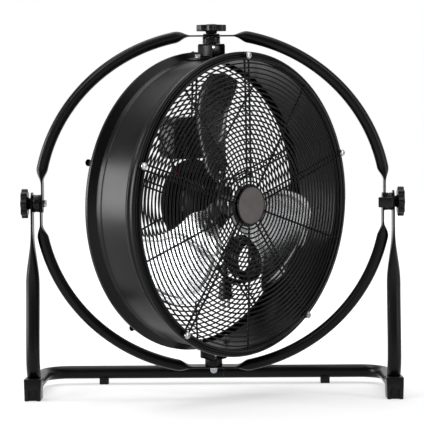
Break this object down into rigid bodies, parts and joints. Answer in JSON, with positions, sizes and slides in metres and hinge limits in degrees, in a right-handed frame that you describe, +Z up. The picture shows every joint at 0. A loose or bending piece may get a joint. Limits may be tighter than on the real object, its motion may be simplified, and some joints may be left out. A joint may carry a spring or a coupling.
{
  "type": "drum fan",
  "caption": "Floor-standing drum fan: a caged barrel fan that swivels inside a tilting tube ring on a bent-tube stand, with lobed clamping knobs.",
  "frame": {"origin": "on the floor, in the middle of the fan's footprint with the drum turned as in the picture", "axes": "+X to the viewer's right along the tilt axis, +Y to the back, +Z up; at rest the ring leans 3.4 degrees forward at the top and the drum's front is turned 45.3 degrees to the right"},
  "size_m": [0.6788, 0.4662, 0.6628],
  "materials": {
    "black_powder_coat": "black semi-gloss powder coat",
    "black_plastic": "fine moulded texture",
    "zinc_steel": "bright zinc plate",
    "bare_steel": "machined, dull",
    "copper_winding": "varnished copper wire",
    "blade_aluminium": "rolled sheet, satin",
    "badge_enamel": "grey enamel, satin",
    "capacitor_case": "moulded, plain",
    "cord_jacket": "smooth black sheath"
  },
  "bodies": {
    "stand": {"stand_tube_left": "black_powder_coat", "stand_tube_right": "black_powder_coat", "front_foot_left": "black_plastic", "front_foot_right": "black_plastic", "rear_pad_left": "black_plastic", "rear_pad_right": "black_plastic", "pivot_bolt_left": "zinc_steel", "pivot_bolt_right": "zinc_steel", "side_bush_left": "black_plastic", "side_bush_right": "black_plastic"},
    "tilt_knob_left": {"tilt_knob_left": "black_plastic"},
    "tilt_knob_right": {"tilt_knob_right": "black_plastic"},
    "ring": {"hoop_upper": "black_powder_coat", "hoop_lower": "black_powder_coat", "pivot_clip": "black_plastic", "swivel_bush_top": "black_plastic", "swivel_washer": "black_plastic", "swivel_bolt_top": "zinc_steel", "swivel_bush_bottom": "black_plastic", "swivel_bolt_bottom": "zinc_steel", "swivel_nut": "zinc_steel"},
    "swivel_knob": {"swivel_knob": "black_plastic"},
    "drum": {"drum_shell": "black_powder_coat", "bracket_top": "black_powder_coat", "bracket_bottom": "black_powder_coat", "bracket_bolt_top_left": "zinc_steel", "bracket_bolt_top_right": "zinc_steel", "bracket_bolt_bottom_left": "zinc_steel", "bracket_bolt_bottom_right": "zinc_steel", "front_guard": "black_powder_coat", "rear_guard": "black_powder_coat", "hub_badge": "badge_enamel", "guard_screw_1": "zinc_steel", "guard_screw_2": "zinc_steel", "guard_screw_3": "zinc_steel", "guard_screw_4": "zinc_steel", "guard_screw_5": "zinc_steel", "motor_plate": "black_powder_coat", "motor_can": "black_powder_coat", "motor_cover": "black_powder_coat", "stator_core": "bare_steel", "stator_winding": "copper_winding", "bearing_front": "bare_steel", "bearing_rear": "bare_steel", "switch_box": "black_plastic", "switch_lid": "black_plastic", "rotary_switch": "black_plastic", "capacitor": "capacitor_case", "cord_lead": "cord_jacket", "cord_coil": "cord_jacket", "cord_tie": "black_plastic", "cord_plug": "cord_jacket"},
    "speed_dial": {"speed_dial": "black_plastic"},
    "rotor": {"motor_shaft": "bare_steel", "rotor_core": "bare_steel", "fan_hub": "bare_steel", "hub_nut": "zinc_steel", "blade_1": "blade_aluminium", "blade_2": "blade_aluminium", "blade_3": "blade_aluminium"}
  },
  "joints": [
    {"name": "ring_tilt", "type": "hinge", "parent": "stand", "child": "ring", "pos_m": [0, 0.0158, 0.348], "axis": [1, 0, 0], "range_deg": [-180, 180]},
    {"name": "drum_swivel", "type": "hinge", "parent": "ring", "child": "drum", "pos_m": [0, 0.0158, 0.348], "axis": [0, -0.059, 0.9983], "range_deg": [-180, 180]},
    {"name": "rotor_spin", "type": "hinge", "parent": "drum", "child": "rotor", "pos_m": [0, 0.0158, 0.348], "axis": [-0.7111, 0.7019, 0.0415], "continuous": true},
    {"name": "tilt_knob_left_turn", "type": "hinge", "parent": "stand", "child": "tilt_knob_left", "pos_m": [-0.3264, 0.0158, 0.348], "axis": [-1, 0, 0], "range_deg": [0, 360]},
    {"name": "tilt_knob_right_turn", "type": "hinge", "parent": "stand", "child": "tilt_knob_right", "pos_m": [0.3264, 0.0158, 0.348], "axis": [1, 0, 0], "range_deg": [0, 360]},
    {"name": "swivel_knob_turn", "type": "hinge", "parent": "ring", "child": "swivel_knob", "pos_m": [0, -0.00189, 0.64748], "axis": [0, -0.059, 0.9983], "range_deg": [0, 360]},
    {"name": "speed_dial_turn", "type": "hinge", "parent": "drum", "child": "speed_dial", "pos_m": [-0.06755, 0.07564, 0.46774], "axis": [0.7111, -0.7019, -0.0415], "range_deg": [0, 135]}
  ]
}
